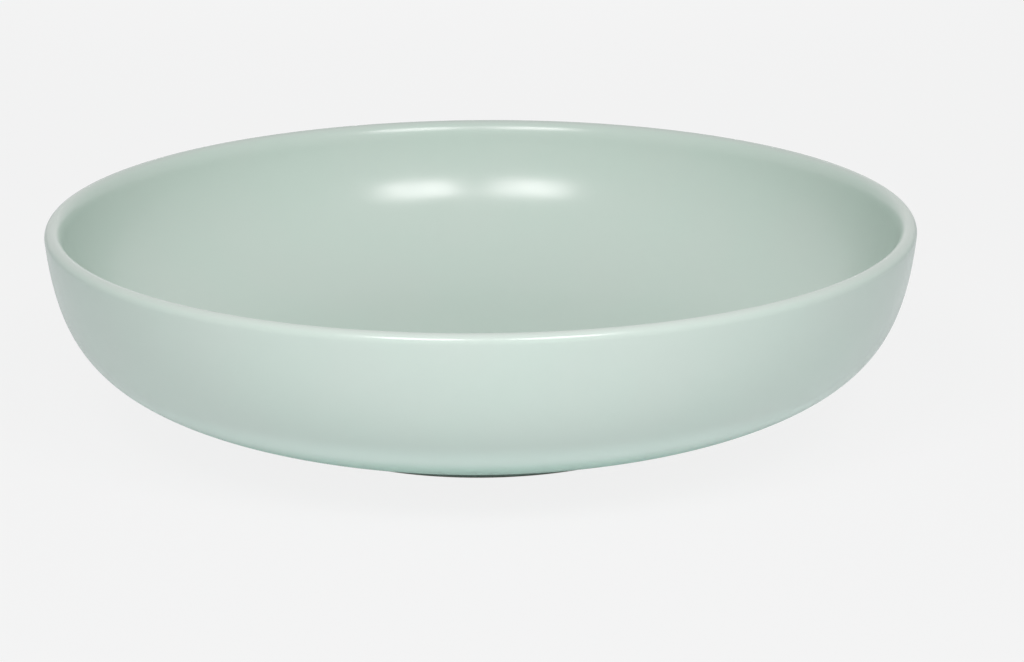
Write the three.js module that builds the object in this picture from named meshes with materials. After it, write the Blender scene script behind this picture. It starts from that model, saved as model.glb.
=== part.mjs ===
// Serving bowl: a low, wide, round bowl of glazed stoneware on a short foot ring.
// Millimetres, +Z up. The bowl stands on z = 0 and its axis is Z.
// The fired clay's section is drawn once, as a chain of strokes from the axis under the
// foot, out and up the wall, over the rim and back to the axis on the floor inside.
// Each coat of glaze follows some of the same strokes, so it fits whatever the sizes are.

import * as THREE from "three";

// Finished sizes, measured over the glaze
const RIM_DIAMETER = 300;
const HEIGHT = 72.5;
const RIM_THICKNESS = 6.5;
const CREST_INSET = 2.8; // from the outside to the line where the rim is highest
const OUTER_ROLL = 3; // how far below its crest the rim is rounded, outside
const INNER_ROLL = 7; // the same, inside

// Floor and foot ring, measured on the bare clay
const FLOOR_THICKNESS = 6.4;
const FOOT_DIAMETER = 138;
const FOOT_WIDTH = 6;
const FOOT_HEIGHT = 3.1;
const FOOT_COVE_RADIUS = 1.6;
const FOOT_EDGE_RADIUS = 0.4;
const WELL_DEPTH = 2.6;
const WELL_COVE_RADIUS = 1.4;

// Slopes where the long curves of the section end, in degrees
const UNDERSIDE_RISE = 14.7; // above level, where the underside leaves the foot
const WALL_LEAN = 6; // off upright, outside under the rim
const INSIDE_LEAN = 7; // off upright, inside under the rim

// Fullness of the long curves: the share of the way to its corner that each end runs straight
const UNDERSIDE_FULLNESS = 0.75;
const WALL_FULLNESS = 1;
const INSIDE_FULLNESS = 0.68;
const FLOOR_FULLNESS = 0.79;

// Glaze
const GLAZE_THICKNESS = 0.5;
const BOND_GAP = 0.1; // between the clay and the glaze
const GLAZE_LINE = 0.6; // height above the table where the glaze stops on the foot

// Fineness of the round and curved stretches
const TURN_SEGMENTS = 60;
const ROUND_STEPS = 2;
const ROLL_STEPS = 4;
const OUTSIDE_STEPS = 9;
const INSIDE_STEPS = 11;

// Sizes that follow
const COAT = BOND_GAP + GLAZE_THICKNESS;
const FOOT_RADIUS = FOOT_DIAMETER / 2;
const WELL_RADIUS = FOOT_RADIUS - FOOT_WIDTH;
const FLOOR_LEVEL = WELL_DEPTH + FLOOR_THICKNESS;
const CREST_RADIUS = RIM_DIAMETER / 2 - CREST_INSET;

// A point of the section: its distance from the axis and its height
function point(radius, height) {
  return new THREE.Vector2(radius, height);
}

// A direction in the section, in degrees: 0 is straight out from the axis and 90 is up
function heading(degrees) {
  const angle = THREE.MathUtils.degToRad(degrees);
  return new THREE.Vector2(Math.cos(angle), Math.sin(angle));
}

// Where the straight line through one point meets the straight line through another
function corner(first, firstHeading, second, secondHeading) {
  const between = second.clone().sub(first);
  const reach = between.cross(secondHeading) / firstHeading.cross(secondHeading);
  return first.clone().addScaledVector(firstHeading, reach);
}

// One stroke of the section: a curve and the number of steps that it is cut into
function stroke(curve, steps) {
  return { curve, steps };
}

function line(from, to) {
  return stroke(new THREE.LineCurve(from, to), 1);
}

function arc(centre, radius, fromDegrees, toDegrees, steps) {
  const from = THREE.MathUtils.degToRad(fromDegrees);
  const to = THREE.MathUtils.degToRad(toDegrees);
  const clockwise = to < from;
  return stroke(new THREE.EllipseCurve(centre.x, centre.y, radius, radius, from, to, clockwise), steps);
}

// The recess under the floor and the glazed part of the foot's inner side
function wellStrokes() {
  const cove = Math.min(WELL_COVE_RADIUS, WELL_DEPTH - GLAZE_LINE);
  const coveCentre = point(WELL_RADIUS - cove, WELL_DEPTH - cove);
  const glazeEnd = point(WELL_RADIUS, GLAZE_LINE);
  return [
    line(point(0, WELL_DEPTH), point(coveCentre.x, WELL_DEPTH)),
    arc(coveCentre, cove, 90, 0, ROUND_STEPS),
    line(point(WELL_RADIUS, coveCentre.y), glazeEnd),
  ];
}

// The bare, ground foot that the bowl stands on
function bareFootStrokes() {
  const edge = Math.min(FOOT_EDGE_RADIUS, GLAZE_LINE);
  const innerCentre = point(WELL_RADIUS + edge, edge);
  const outerCentre = point(FOOT_RADIUS - edge, edge);
  return [
    line(point(WELL_RADIUS, GLAZE_LINE), point(WELL_RADIUS, edge)),
    arc(innerCentre, edge, 180, 270, ROUND_STEPS),
    line(point(innerCentre.x, 0), point(outerCentre.x, 0)),
    arc(outerCentre, edge, 270, 360, ROUND_STEPS),
    line(point(FOOT_RADIUS, edge), point(FOOT_RADIUS, GLAZE_LINE)),
  ];
}

// The glazed part of the foot's outer side and the cove that turns it into the underside
function footSideStrokes() {
  const bendPerRadius = Math.tan(THREE.MathUtils.degToRad(90 - UNDERSIDE_RISE) / 2);
  const cove = Math.min(FOOT_COVE_RADIUS, (FOOT_HEIGHT - GLAZE_LINE) / bendPerRadius);
  const coveStart = point(FOOT_RADIUS, FOOT_HEIGHT - cove * bendPerRadius);
  const coveCentre = point(FOOT_RADIUS + cove, coveStart.y);
  return [
    line(point(FOOT_RADIUS, GLAZE_LINE), coveStart),
    arc(coveCentre, cove, 180, 90 + UNDERSIDE_RISE, ROUND_STEPS),
  ];
}

// One side of the rolled rim, a stretch of an ellipse between two directions that it faces
function rollStroke(width, drop, fromFacing, toFacing) {
  const clayWidth = width - COAT;
  const clayDrop = drop - COAT;
  const turn = (facing) => Math.atan2(clayDrop * heading(facing).y, clayWidth * heading(facing).x);
  const from = turn(fromFacing);
  const to = turn(toFacing);
  const curve = new THREE.EllipseCurve(CREST_RADIUS, HEIGHT - drop, clayWidth, clayDrop, from, to);
  return stroke(curve, ROLL_STEPS);
}

function outerRollStroke() {
  return rollStroke(CREST_INSET, OUTER_ROLL, -WALL_LEAN, 90);
}

function innerRollStroke() {
  return rollStroke(RIM_THICKNESS - CREST_INSET, INNER_ROLL, 90, 180 - INSIDE_LEAN);
}

// Underside, belly and wall, from the foot's cove up to the rim
function outsideStroke(start, end) {
  const knee = corner(start, heading(UNDERSIDE_RISE), end, heading(90 - WALL_LEAN));
  const startHandle = start.clone().lerp(knee, UNDERSIDE_FULLNESS);
  const endHandle = end.clone().lerp(knee, WALL_FULLNESS);
  return stroke(new THREE.CubicBezierCurve(start, startHandle, endHandle, end), OUTSIDE_STEPS);
}

// Inner wall and floor, from the rim down to the axis
function insideStroke(start) {
  const middle = point(0, FLOOR_LEVEL);
  const knee = corner(middle, heading(0), start, heading(90 - INSIDE_LEAN));
  const startHandle = start.clone().lerp(knee, INSIDE_FULLNESS);
  const middleHandle = middle.clone().lerp(knee, FLOOR_FULLNESS);
  return stroke(new THREE.CubicBezierCurve(start, startHandle, middleHandle, middle), INSIDE_STEPS);
}

// Everything that the main coat covers, from the glaze line on the foot to the middle of the floor
function coatedStrokes() {
  const footSide = footSideStrokes();
  const outerRoll = outerRollStroke();
  const innerRoll = innerRollStroke();
  const outside = outsideStroke(footSide.at(-1).curve.getPoint(1), outerRoll.curve.getPoint(0));
  const inside = insideStroke(innerRoll.curve.getPoint(1));
  return [...footSide, outside, outerRoll, innerRoll, inside];
}

// The points along a chain of strokes, moved outwards from the clay by a distance
function trace(strokes, distance) {
  const points = [];
  strokes.forEach(({ curve, steps }, index) => {
    const firstStep = index === 0 ? 0 : 1;
    for (let step = firstStep; step <= steps; step += 1) {
      const along = curve.getTangent(step / steps);
      const outward = point(along.y, -along.x);
      points.push(curve.getPoint(step / steps).addScaledVector(outward, distance));
    }
  });
  return points;
}

// A section turned about the bowl's axis
function turned(name, section, material) {
  const geometry = new THREE.LatheGeometry(section, TURN_SEGMENTS);
  geometry.rotateX(Math.PI / 2);
  const mesh = new THREE.Mesh(geometry, material);
  mesh.name = name;
  return mesh;
}

function clayMaterial() {
  return new THREE.MeshStandardMaterial({ color: 0xcfc5b4, roughness: 0.85, metalness: 0 });
}

function glazeMaterial() {
  return new THREE.MeshStandardMaterial({ color: 0xbfd0c6, roughness: 0.3, metalness: 0 });
}

// Fired clay: floor, wall, rim and foot ring, thrown as one piece
function stonewareBody() {
  const section = trace([...wellStrokes(), ...bareFootStrokes(), ...coatedStrokes()], 0);
  return turned("stoneware_body", section, clayMaterial());
}

// The main coat: inside, over the rim and down the outside to the glaze line
function glazeCoat() {
  const bond = trace(coatedStrokes(), BOND_GAP).reverse();
  const face = trace(coatedStrokes(), COAT);
  return turned("glaze_coat", [...bond, ...face], glazeMaterial());
}

// The coat in the recess under the floor, cut off from the main one by the bare foot
function footWellGlaze() {
  const face = trace(wellStrokes(), COAT);
  const bond = trace(wellStrokes(), BOND_GAP).reverse();
  return turned("foot_well_glaze", [...face, ...bond], glazeMaterial());
}

const servingBowl = new THREE.Group();
servingBowl.add(stonewareBody(), glazeCoat(), footWellGlaze());

export default servingBowl;
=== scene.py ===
import math

import bpy
from mathutils import Matrix, Vector, noise


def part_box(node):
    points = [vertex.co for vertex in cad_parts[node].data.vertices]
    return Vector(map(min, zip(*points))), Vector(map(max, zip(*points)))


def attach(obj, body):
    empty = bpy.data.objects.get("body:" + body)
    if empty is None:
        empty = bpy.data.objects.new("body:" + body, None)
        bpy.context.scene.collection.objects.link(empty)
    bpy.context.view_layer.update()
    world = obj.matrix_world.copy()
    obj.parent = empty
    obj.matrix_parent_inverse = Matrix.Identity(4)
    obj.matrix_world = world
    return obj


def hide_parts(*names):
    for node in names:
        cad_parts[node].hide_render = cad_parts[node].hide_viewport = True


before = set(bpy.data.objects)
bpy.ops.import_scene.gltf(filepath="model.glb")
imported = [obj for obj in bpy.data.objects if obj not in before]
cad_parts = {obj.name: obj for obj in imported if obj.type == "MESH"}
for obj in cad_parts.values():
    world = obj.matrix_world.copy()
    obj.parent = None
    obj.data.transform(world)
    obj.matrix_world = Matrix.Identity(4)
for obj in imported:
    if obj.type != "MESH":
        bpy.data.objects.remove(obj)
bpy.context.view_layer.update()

# A low serving bowl of glazed stoneware. Each piece is one section turned about Z:
# the fired clay, the coat of glaze over it and the glaze in the recess under the floor.
# Sections are drawn with x as the distance from the axis and y as the height.
# Lengths are in metres and angles in degrees.

MM = 0.001

# Sizes from the frame
CLAY_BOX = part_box("stoneware_body")
COAT_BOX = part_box("glaze_coat")
WELL_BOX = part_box("foot_well_glaze")
HEIGHT = COAT_BOX[1][2]
RIM_RADIUS = COAT_BOX[1][0]
GLAZE_LINE = COAT_BOX[0][2]  # height where the glaze stops on the foot
COAT = RIM_RADIUS - CLAY_BOX[1][0]  # from the clay to the glaze's face

# Sizes of the section that the boxes don't give
RIM_THICKNESS = 6.5 * MM
CREST_INSET = 2.8 * MM  # from the outside to the line where the rim is highest
OUTER_ROLL = 3 * MM  # how far below its crest the rim is rounded, outside
INNER_ROLL = 7 * MM  # the same, inside
BOND_GAP = 0.1 * MM  # between the clay and the glaze
FOOT_RADIUS = 69 * MM
FOOT_WIDTH = 6 * MM
FOOT_HEIGHT = 3.1 * MM
FOOT_COVE_RADIUS = 1.6 * MM
FOOT_EDGE_RADIUS = 0.4 * MM
WELL_DEPTH = WELL_BOX[1][2] + BOND_GAP
WELL_COVE_RADIUS = 1.4 * MM
FLOOR_THICKNESS = 6.4 * MM

# Slopes where the long curves of the section end
UNDERSIDE_RISE = 14.7  # above level, where the underside leaves the foot
WALL_LEAN = 6  # off upright, outside under the rim
INSIDE_LEAN = 7  # off upright, inside under the rim

# Fullness of the long curves: the share of the way to its corner that each end runs straight
UNDERSIDE_FULLNESS = 0.75
WALL_FULLNESS = 1
INSIDE_FULLNESS = 0.68
FLOOR_FULLNESS = 0.79

# Sizes that follow
WELL_RADIUS = FOOT_RADIUS - FOOT_WIDTH
FLOOR_LEVEL = WELL_DEPTH + FLOOR_THICKNESS
CREST_RADIUS = RIM_RADIUS - CREST_INSET

# How the glaze flowed: slow swells in its face, and a line on the foot that isn't quite level
SWELL_DEPTH = 0.05 * MM
SWELL_LENGTH = 45 * MM
LINE_WANDER = 0.12 * MM
LINE_WAVES = 9

# Fineness of the meshes
TURN_SEGMENTS = 288
ROLL_STEPS = 16
OUTSIDE_STEPS = 72
INSIDE_STEPS = 96
WELL_ROOF_STEPS = 30
WELL_COVE_STEPS = 8
WELL_SIDE_STEPS = 2
BARE_SIDE_STEPS = 2
FOOT_EDGE_STEPS = 6
FOOT_LAND_STEPS = 6
FOOT_SIDE_STEPS = 3
FOOT_COVE_STEPS = 10
GLAZE_EDGE_STEPS = 6

# Colours of the glaze, and where each is found, with painted light and painted shade among them. A
# facing is the upward part of a surface's normal.
GLAZE = (0.536, 0.638, 0.577)
GLAZE_THIN = (0.565, 0.625, 0.582)
# Painted light: paler where the floor's bounce lights the belly from below, and on the foot, which sits
# in shade
GLAZE_PAINTED_LIGHT = (0.595, 0.715, 0.65)
# Painted shade: greener and lower in red, as light bounced between the underside and the floor
GLAZE_PAINTED_SHADE = (0.395, 0.63, 0.525)
CLOUD_SCALE = 28
CLOUD_EDGES = (0.3, 0.7)
CLOUD_SHARE = 0.25  # of the thin colour, in the clouds
RIM_SHARE = 0.7  # of the thin colour, on the crest
RIM_FADE = 1.6 * MM  # how far below the crest it ends
FOOT_PAINTED_LIGHT_FADE = (1.5 * MM, 3 * MM)  # heights where the painted light on the foot is full and where it ends
PAINTED_BOUNCE_FACING = (-0.78, -0.6)  # facings where the painted bounce light under the belly is full and where it ends
PAINTED_SHADE_FACING = (-0.95, -0.79)  # the same for the painted greener shade on the underside
PAINTED_SHADE_SHARE = 0.9  # of the painted shade, at its fullest

# Gloss of the glaze, and the fine ripples in it
GLAZE_IOR = 1.45
GLAZE_ROUGHNESS = (0.19, 0.25)
SMEAR_SCALE = 60
SMEAR_EDGES = (0.25, 0.75)
RIPPLE_SCALE = 420
RIPPLE_STRENGTH = 0.05
RIPPLE_DEPTH = 0.02 * MM

# Bare clay, its grit and its ground tooth
CLAY = (0.72, 0.66, 0.57)
CLAY_GRIT = (0.36, 0.29, 0.22)
CLAY_ROUGHNESS = 0.85
GRIT_SCALE = 1500
GRIT_EDGES = (0.6, 0.72)
GRIT_SHARE = 0.7
TOOTH_SCALE = 2200
TOOTH_STRENGTH = 0.4
TOOTH_DEPTH = 0.08 * MM

# Camera: the photograph's viewing angle, as a place on a sphere round the bowl and an aim
IMAGE_WIDTH = 1024
BOWL_MIDDLE = Vector((0, 0, 37.5 * MM))
CAMERA_DISTANCE = 1.5
CAMERA_ELEVATION = 15.64
CAMERA_PITCH = 15.863
CAMERA_YAW = 0.419
CAMERA_ROLL = 0.288
FOCAL_PIXELS = 4320
SENSOR_WIDTH = 36

# Floor and backdrop
BACKDROP = 0.9
FLOOR_COLOUR = (0.94, 0.95, 0.97)
FLOOR_SHADE = 0.05  # share of the floor's own shading that the camera sees
MIRRORED_SHADE = 0.7  # the same, in what the glaze reflects
FLOOR_REACH = 6  # from the bowl's axis to each side of the floor
FLOOR_DROP = 0.02 * MM  # below the foot, so that the two faces don't lie in one plane

# Light: a little green from all round and a little pink from three softboxes, together neutral
WORLD_LIGHT = 0.29
WORLD_COLOUR = (0.88, 1, 0.97)
WHITE = (1, 1, 1)
LAMP_COLOUR = (1, 0.95, 0.97)
LAMP_DISTANCE = 1.2
LAMP_HEIGHT = 0.32
LAMP_POWER = 4  # watts of a flat lamp for each square metre and unit of brightness
FRONT_ELEVATION = 42.2
LEFT_AZIMUTH = -18
LEFT_WIDTH = 0.38
LEFT_LIGHT = 11.9
RIGHT_AZIMUTH = 22.2
RIGHT_WIDTH = 0.41
RIGHT_LIGHT = 11.2
BACK_AZIMUTH = 180
BACK_ELEVATION = 9
BACK_WIDTH = 0.4
BACK_LIGHT = 9

# A Mix node's sockets for colours share their names with others, so they go by number
MIX_FIRST_COLOUR = 6
MIX_SECOND_COLOUR = 7
MIX_COLOUR_RESULT = 2


# Section geometry

def heading(degrees):
    """A direction in the section: 0 is straight out from the axis and 90 is up."""
    angle = math.radians(degrees)
    return Vector((math.cos(angle), math.sin(angle)))


def out_from(along):
    """The way out of the clay, on the right of the way along its section."""
    return Vector((along.y, -along.x))


def corner(first, first_heading, second, second_heading):
    """Where the line through one point meets the line through another."""
    between = second - first
    reach = between.cross(second_heading) / first_heading.cross(second_heading)
    return first + reach * first_heading


def line(start, end, steps):
    outward = out_from((end - start).normalized())
    return [(start.lerp(end, step / steps), outward) for step in range(steps + 1)]


def arc(centre, radius, first, last, steps):
    """A stretch of a circle between two headings."""
    side = 1 if last > first else -1
    spokes = [heading(first + (last - first) * step / steps) for step in range(steps + 1)]
    return [(centre + radius * spoke, side * spoke) for spoke in spokes]


def bezier(start, start_handle, end_handle, end, steps):
    leaving = start_handle - start
    passing = end_handle - start_handle
    arriving = end - end_handle
    pairs = []
    for step in range(steps + 1):
        share = step / steps
        rest = 1 - share
        place = rest**3 * start
        place += 3 * rest * rest * share * start_handle
        place += 3 * rest * share * share * end_handle
        place += share**3 * end
        along = rest * rest * leaving + 2 * rest * share * passing + share * share * arriving
        pairs.append((place, out_from(along.normalized())))
    return pairs


def chain(*strokes):
    """Strokes end to end, as points of the clay and the way out from each."""
    joined = list(strokes[0])
    for stroke in strokes[1:]:
        joined.extend(stroke[1:])
    return joined


def moved_out(pairs, distance):
    return [place + distance * outward for place, outward in pairs]


def roll(width, drop, first, last):
    """One side of the rolled rim, a stretch of an ellipse between two directions that it faces."""
    centre = Vector((CREST_RADIUS, HEIGHT - drop))
    reach = Vector((width - COAT, drop - COAT))
    pairs = []
    for step in range(ROLL_STEPS + 1):
        facing = heading(first + (last - first) * step / ROLL_STEPS)
        spoke = reach * facing
        pairs.append((centre + reach * spoke / spoke.length, facing))
    return pairs


def outer_roll():
    return roll(CREST_INSET, OUTER_ROLL, -WALL_LEAN, 90)


def inner_roll():
    return roll(RIM_THICKNESS - CREST_INSET, INNER_ROLL, 90, 180 - INSIDE_LEAN)


def well_strokes():
    """The recess under the floor and the glazed part of the foot's inner side."""
    centre = Vector((WELL_RADIUS - WELL_COVE_RADIUS, WELL_DEPTH - WELL_COVE_RADIUS))
    roof = line(Vector((0, WELL_DEPTH)), Vector((centre.x, WELL_DEPTH)), WELL_ROOF_STEPS)
    cove = arc(centre, WELL_COVE_RADIUS, 90, 0, WELL_COVE_STEPS)
    side = line(Vector((WELL_RADIUS, centre.y)), Vector((WELL_RADIUS, GLAZE_LINE)), WELL_SIDE_STEPS)
    return chain(roof, cove, side)


def bare_foot_strokes():
    """The ground foot that the bowl stands on."""
    inner = Vector((WELL_RADIUS + FOOT_EDGE_RADIUS, FOOT_EDGE_RADIUS))
    outer = Vector((FOOT_RADIUS - FOOT_EDGE_RADIUS, FOOT_EDGE_RADIUS))
    inner_end = Vector((WELL_RADIUS, GLAZE_LINE))
    outer_end = Vector((FOOT_RADIUS, GLAZE_LINE))
    inner_side = line(inner_end, Vector((WELL_RADIUS, inner.y)), BARE_SIDE_STEPS)
    inner_edge = arc(inner, FOOT_EDGE_RADIUS, 180, 270, FOOT_EDGE_STEPS)
    land = line(Vector((inner.x, 0)), Vector((outer.x, 0)), FOOT_LAND_STEPS)
    outer_edge = arc(outer, FOOT_EDGE_RADIUS, 270, 360, FOOT_EDGE_STEPS)
    outer_side = line(Vector((FOOT_RADIUS, outer.y)), outer_end, BARE_SIDE_STEPS)
    return chain(inner_side, inner_edge, land, outer_edge, outer_side)


def outside_strokes():
    """From the glaze line on the foot, round the cove and up the outside to the rim."""
    bend = FOOT_COVE_RADIUS * math.tan(math.radians(90 - UNDERSIDE_RISE) / 2)
    cove_start = Vector((FOOT_RADIUS, FOOT_HEIGHT - bend))
    cove_centre = cove_start + Vector((FOOT_COVE_RADIUS, 0))
    side = line(Vector((FOOT_RADIUS, GLAZE_LINE)), cove_start, FOOT_SIDE_STEPS)
    cove = arc(cove_centre, FOOT_COVE_RADIUS, 180, 90 + UNDERSIDE_RISE, FOOT_COVE_STEPS)
    start = cove[-1][0]
    end = outer_roll()[0][0]
    knee = corner(start, heading(UNDERSIDE_RISE), end, heading(90 - WALL_LEAN))
    start_handle = start.lerp(knee, UNDERSIDE_FULLNESS)
    end_handle = end.lerp(knee, WALL_FULLNESS)
    wall = bezier(start, start_handle, end_handle, end, OUTSIDE_STEPS)
    return chain(side, cove, wall)


def inside_strokes():
    """Over the rolled rim and down the inside to the middle of the floor."""
    lip = chain(outer_roll(), inner_roll())
    start = lip[-1][0]
    middle = Vector((0, FLOOR_LEVEL))
    knee = corner(middle, heading(0), start, heading(90 - INSIDE_LEAN))
    start_handle = start.lerp(knee, INSIDE_FULLNESS)
    middle_handle = middle.lerp(knee, FLOOR_FULLNESS)
    wall = bezier(start, start_handle, middle_handle, middle, INSIDE_STEPS)
    return chain(lip, wall)


# Turned meshes

def turned(name, section, shape=None):
    """A section that starts and ends on the axis, turned about Z into a closed mesh.

    shape(index, angle, place) gives the place of one point, where the piece isn't quite round.
    """
    last = len(section) - 1
    vertices = [Vector((0, 0, section[0].y)), Vector((0, 0, section[last].y))]
    rings = []
    for index in range(1, last):
        radius, height = section[index]
        ring = []
        for turn in range(TURN_SEGMENTS):
            angle = 2 * math.pi * turn / TURN_SEGMENTS
            place = Vector((radius * math.cos(angle), radius * math.sin(angle), height))
            ring.append(len(vertices))
            vertices.append(shape(index, angle, place) if shape else place)
        rings.append(ring)
    faces = []
    for turn in range(TURN_SEGMENTS):
        after = (turn + 1) % TURN_SEGMENTS
        faces.append((0, rings[0][after], rings[0][turn]))
        for low, high in zip(rings, rings[1:]):
            faces.append((low[turn], low[after], high[after], high[turn]))
        faces.append((1, rings[-1][turn], rings[-1][after]))
    mesh = bpy.data.meshes.new(name)
    mesh.from_pydata(vertices, [], faces)
    mesh.shade_smooth()
    piece = bpy.data.objects.new(name, mesh)
    bpy.context.collection.objects.link(piece)
    return piece


def placed(piece, node, material):
    """Puts a finished piece in the place of its CAD node."""
    piece.data.materials.append(material)
    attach(piece, "root")
    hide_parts(node)
    return piece


def rolled_edge(end):
    """The glaze's end on the foot: a half round from its bond to its face.

    end is the last point of the clay that is glazed, and the way out from it.
    """
    place, outward = end
    middle = place + (BOND_GAP + COAT) / 2 * outward
    radius = (COAT - BOND_GAP) / 2
    down = Vector((0, -1))
    points = []
    for step in range(1, GLAZE_EDGE_STEPS):
        angle = math.pi * step / GLAZE_EDGE_STEPS
        points.append(middle - radius * math.cos(angle) * outward + radius * math.sin(angle) * down)
    return points


def clay_body(material):
    strokes = chain(well_strokes(), bare_foot_strokes(), outside_strokes(), inside_strokes())
    section = moved_out(strokes, 0)
    return placed(turned("clay_body", section), "stoneware_body", material)


def line_wander(angle):
    """How far the glaze line rises round the foot."""
    ring = Vector((math.cos(angle), math.sin(angle), 0)) * LINE_WAVES / 2
    return LINE_WANDER * (1 + noise.noise(ring))


def glaze_skin(material):
    strokes = chain(outside_strokes(), inside_strokes())
    bond = moved_out(strokes, BOND_GAP)
    back = bond[::-2] + bond[:1]  # every other point, as this side is hidden
    face = moved_out(strokes, COAT)
    edge = rolled_edge(strokes[0])
    section = back + edge + face
    first_face = len(back) + len(edge)
    ways_out = [outward for place, outward in strokes]

    def flowed(index, angle, place):
        low = max(0, 1 - place.z / FOOT_HEIGHT)
        place.z += low * line_wander(angle)
        if index >= first_face:
            outward = ways_out[index - first_face]
            way = Vector((outward.x * math.cos(angle), outward.x * math.sin(angle), outward.y))
            swell = noise.noise(place / SWELL_LENGTH) - 1
            place += SWELL_DEPTH / 2 * swell * way
        return place

    return placed(turned("glaze_skin", section, flowed), "glaze_coat", material)


def well_glaze(material):
    strokes = well_strokes()
    face = moved_out(strokes, COAT)
    bond = moved_out(strokes, BOND_GAP)
    edge = rolled_edge(strokes[-1])
    section = face + edge[::-1] + bond[::-1]
    return placed(turned("well_glaze", section), "foot_well_glaze", material)


# Materials

class Nodes:
    """A material's node tree, with short calls to add nodes and link them."""

    def __init__(self, tree):
        self.tree = tree

    def add(self, kind, **settings):
        node = self.tree.nodes.new(kind)
        for name, value in settings.items():
            setattr(node, name, value)
        return node

    def link(self, output, entry):
        self.tree.links.new(output, entry)

    def math(self, operation, first, second):
        node = self.add("ShaderNodeMath", operation=operation)
        for entry, value in zip(node.inputs, (first, second)):
            if isinstance(value, (int, float)):
                entry.default_value = value
            else:
                self.link(value, entry)
        return node.outputs["Value"]

    def upward(self, vector):
        node = self.add("ShaderNodeSeparateXYZ")
        self.link(vector, node.inputs["Vector"])
        return node.outputs["Z"]

    def noise(self, place, scale, detail):
        node = self.add("ShaderNodeTexNoise")
        node.inputs["Scale"].default_value = scale
        node.inputs["Detail"].default_value = detail
        self.link(place, node.inputs["Vector"])
        return node.outputs["Fac"]

    def ranged(self, value, limits, results):
        """A value eased from one pair of limits to a pair of results."""
        node = self.add("ShaderNodeMapRange", interpolation_type="SMOOTHSTEP")
        node.inputs["From Min"].default_value, node.inputs["From Max"].default_value = limits
        node.inputs["To Min"].default_value, node.inputs["To Max"].default_value = results
        self.link(value, node.inputs["Value"])
        return node.outputs["Result"]

    def mixed(self, share, first, second):
        """Two colours, each plain or from a node, by the share of the second."""
        node = self.add("ShaderNodeMix", data_type="RGBA")
        self.link(share, node.inputs["Factor"])
        for number, value in ((MIX_FIRST_COLOUR, first), (MIX_SECOND_COLOUR, second)):
            if isinstance(value, tuple):
                node.inputs[number].default_value = (*value, 1)
            else:
                self.link(value, node.inputs[number])
        return node.outputs[MIX_COLOUR_RESULT]

    def bump(self, heights, strength, depth):
        node = self.add("ShaderNodeBump")
        node.inputs["Strength"].default_value = strength
        node.inputs["Distance"].default_value = depth
        self.link(heights, node.inputs["Height"])
        return node.outputs["Normal"]


def new_material(name):
    material = bpy.data.materials.new(name)
    material.use_nodes = True
    return material, Nodes(material.node_tree), material.node_tree.nodes["Principled BSDF"]


def glaze_colour(nodes, coordinates):
    """Faint clouds, paler over the rim; painted bounce light under the belly and painted light on the
    foot; painted greener shade on the underside.
    """
    place = coordinates.outputs["Object"]
    height = nodes.upward(place)
    facing = nodes.upward(coordinates.outputs["Normal"])
    clouds = nodes.ranged(nodes.noise(place, CLOUD_SCALE, detail=3), CLOUD_EDGES, (0, CLOUD_SHARE))
    rim = nodes.ranged(height, (HEIGHT - RIM_FADE, HEIGHT), (0, RIM_SHARE))
    foot = nodes.ranged(height, FOOT_PAINTED_LIGHT_FADE, (1, 0))
    # painted light: the floor's bounce under the belly, and light on the shaded foot
    painted_bounce = nodes.ranged(facing, PAINTED_BOUNCE_FACING, (1, 0))
    # painted shade: greener on the underside
    under = nodes.ranged(facing, PAINTED_SHADE_FACING, (PAINTED_SHADE_SHARE, 0))
    colour = nodes.mixed(clouds, GLAZE, GLAZE_THIN)
    colour = nodes.mixed(rim, colour, GLAZE_THIN)
    colour = nodes.mixed(nodes.math("MAXIMUM", painted_bounce, foot), colour, GLAZE_PAINTED_LIGHT)
    return nodes.mixed(under, colour, GLAZE_PAINTED_SHADE)


def glaze_material():
    """Satin pale green glaze, with faint smears in its gloss and fine ripples."""
    material, nodes, shader = new_material("glaze")
    coordinates = nodes.add("ShaderNodeTexCoord")
    place = coordinates.outputs["Object"]
    nodes.link(glaze_colour(nodes, coordinates), shader.inputs["Base Color"])
    smears = nodes.noise(place, SMEAR_SCALE, detail=2)
    nodes.link(nodes.ranged(smears, SMEAR_EDGES, GLAZE_ROUGHNESS), shader.inputs["Roughness"])
    shader.inputs["IOR"].default_value = GLAZE_IOR
    ripples = nodes.noise(place, RIPPLE_SCALE, detail=2)
    nodes.link(nodes.bump(ripples, RIPPLE_STRENGTH, RIPPLE_DEPTH), shader.inputs["Normal"])
    return material


def clay_material():
    """Bare fired stoneware: sandy, with darker grit and a ground tooth."""
    material, nodes, shader = new_material("stoneware")
    place = nodes.add("ShaderNodeTexCoord").outputs["Object"]
    grit = nodes.ranged(nodes.noise(place, GRIT_SCALE, detail=2), GRIT_EDGES, (0, GRIT_SHARE))
    nodes.link(nodes.mixed(grit, CLAY, CLAY_GRIT), shader.inputs["Base Color"])
    shader.inputs["Roughness"].default_value = CLAY_ROUGHNESS
    tooth = nodes.noise(place, TOOTH_SCALE, detail=3)
    nodes.link(nodes.bump(tooth, TOOTH_STRENGTH, TOOTH_DEPTH), shader.inputs["Normal"])
    return material


# Studio

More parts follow.
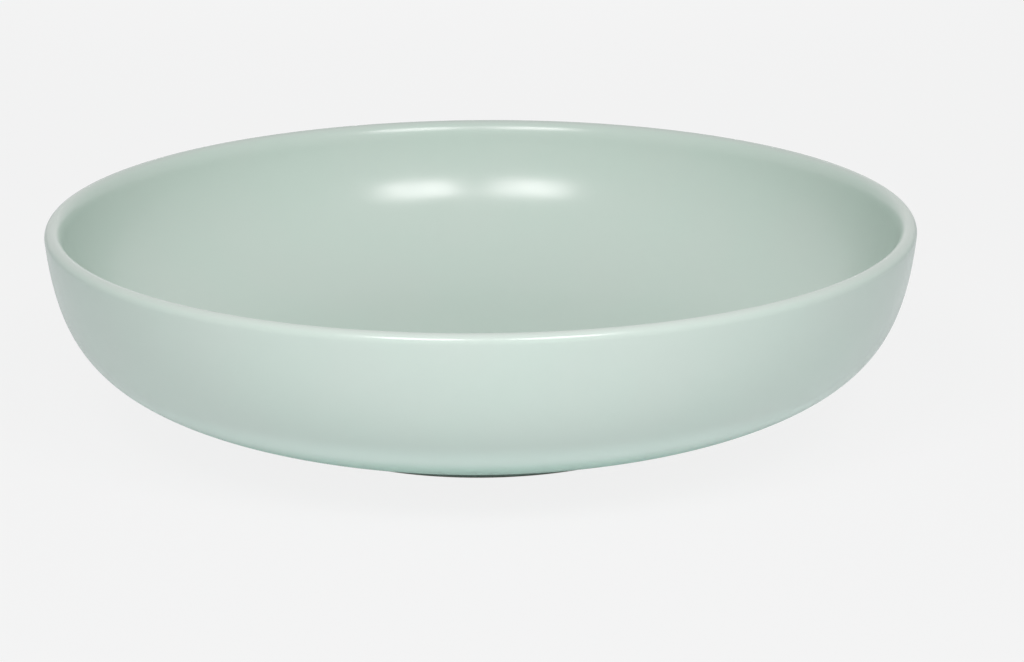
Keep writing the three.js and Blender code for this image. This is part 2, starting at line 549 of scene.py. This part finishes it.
def floor_material():
    """Pale floor: where it is seen it is mostly backdrop, with the bowl's shadow left in it."""
    material, nodes, shader = new_material("floor")
    shader.inputs["Base Color"].default_value = (*FLOOR_COLOUR, 1)
    shader.inputs["Roughness"].default_value = 1
    shader.inputs["Specular IOR Level"].default_value = 0
    glow = nodes.add("ShaderNodeEmission")
    glow.inputs["Color"].default_value = (BACKDROP, BACKDROP, BACKDROP, 1)
    path = nodes.add("ShaderNodeLightPath")
    seen = nodes.math("MULTIPLY", path.outputs["Is Camera Ray"], 1 - FLOOR_SHADE)
    mirrored = nodes.math("MAXIMUM", path.outputs["Is Glossy Ray"], path.outputs["Is Transmission Ray"])
    mirrored = nodes.math("MULTIPLY", mirrored, 1 - MIRRORED_SHADE)
    mix = nodes.add("ShaderNodeMixShader")
    backdrop_share, own_shading, backdrop = mix.inputs
    nodes.link(nodes.math("MAXIMUM", seen, mirrored), backdrop_share)
    nodes.link(shader.outputs["BSDF"], own_shading)
    nodes.link(glow.outputs["Emission"], backdrop)
    nodes.link(mix.outputs["Shader"], material.node_tree.nodes["Material Output"].inputs["Surface"])
    return material


def studio_floor():
    signs = ((-1, -1), (1, -1), (1, 1), (-1, 1))
    corners = [(FLOOR_REACH * across, FLOOR_REACH * back, -FLOOR_DROP) for across, back in signs]
    mesh = bpy.data.meshes.new("floor")
    mesh.from_pydata(corners, [], [(0, 1, 2, 3)])
    mesh.materials.append(floor_material())
    floor = bpy.data.objects.new("floor", mesh)
    bpy.context.collection.objects.link(floor)


def studio_world():
    """Even light from all round, and the backdrop's colour where it is seen."""
    world = bpy.data.worlds.new("studio")
    bpy.context.scene.world = world
    world.use_nodes = True
    nodes = Nodes(world.node_tree)
    background = world.node_tree.nodes["Background"]
    path = nodes.add("ShaderNodeLightPath")
    seen = nodes.math("MAXIMUM", path.outputs["Is Camera Ray"], path.outputs["Is Glossy Ray"])
    seen = nodes.math("MAXIMUM", seen, path.outputs["Is Transmission Ray"])
    nodes.link(nodes.mixed(seen, WORLD_COLOUR, WHITE), background.inputs["Color"])
    nodes.link(nodes.ranged(seen, (0, 1), (WORLD_LIGHT, BACKDROP)), background.inputs["Strength"])


def softbox(name, azimuth, elevation, width, brightness):
    """A flat lamp that faces the bowl. Azimuth 0 is the camera's side, and it turns to the right."""
    turn = math.radians(azimuth)
    rise = math.radians(elevation)
    level = Vector((math.sin(turn), -math.cos(turn), 0))
    up = Vector((0, 0, 1))
    place = LAMP_DISTANCE * (math.cos(rise) * level + math.sin(rise) * up)
    lamp = bpy.data.lights.new(name, "AREA")
    lamp.shape = "RECTANGLE"
    lamp.size = width
    lamp.size_y = LAMP_HEIGHT
    lamp.color = LAMP_COLOUR
    lamp.energy = LAMP_POWER * width * LAMP_HEIGHT * brightness
    box = bpy.data.objects.new(name, lamp)
    box.location = BOWL_MIDDLE + place
    box.rotation_euler = (-place).to_track_quat("-Z", "Y").to_euler()
    bpy.context.collection.objects.link(box)
    return box


def studio_lamps():
    softbox("softbox_left", LEFT_AZIMUTH, FRONT_ELEVATION, LEFT_WIDTH, LEFT_LIGHT)
    softbox("softbox_right", RIGHT_AZIMUTH, FRONT_ELEVATION, RIGHT_WIDTH, RIGHT_LIGHT)
    fill = softbox("softbox_back", BACK_AZIMUTH, BACK_ELEVATION, BACK_WIDTH, BACK_LIGHT)
    fill.visible_glossy = False  # it brightens the back and adds no highlight


def studio_camera():
    elevation = math.radians(CAMERA_ELEVATION)
    away = CAMERA_DISTANCE * Vector((0, -math.cos(elevation), math.sin(elevation)))
    turn = Matrix.Rotation(-math.radians(CAMERA_YAW), 4, "Z")
    tilt = Matrix.Rotation(math.pi / 2 - math.radians(CAMERA_PITCH), 4, "X")
    bank = Matrix.Rotation(-math.radians(CAMERA_ROLL), 4, "Z")
    lens = bpy.data.cameras.new("camera")
    lens.sensor_width = SENSOR_WIDTH
    lens.lens = FOCAL_PIXELS * SENSOR_WIDTH / IMAGE_WIDTH
    camera = bpy.data.objects.new("camera", lens)
    camera.matrix_world = Matrix.Translation(BOWL_MIDDLE + away) @ turn @ tilt @ bank
    bpy.context.collection.objects.link(camera)
    bpy.context.scene.camera = camera


def main():
    bpy.context.scene.view_settings.view_transform = "Standard"
    studio_camera()
    glaze = glaze_material()
    clay_body(clay_material())
    glaze_skin(glaze)
    well_glaze(glaze)
    studio_floor()
    studio_world()
    studio_lamps()


main()
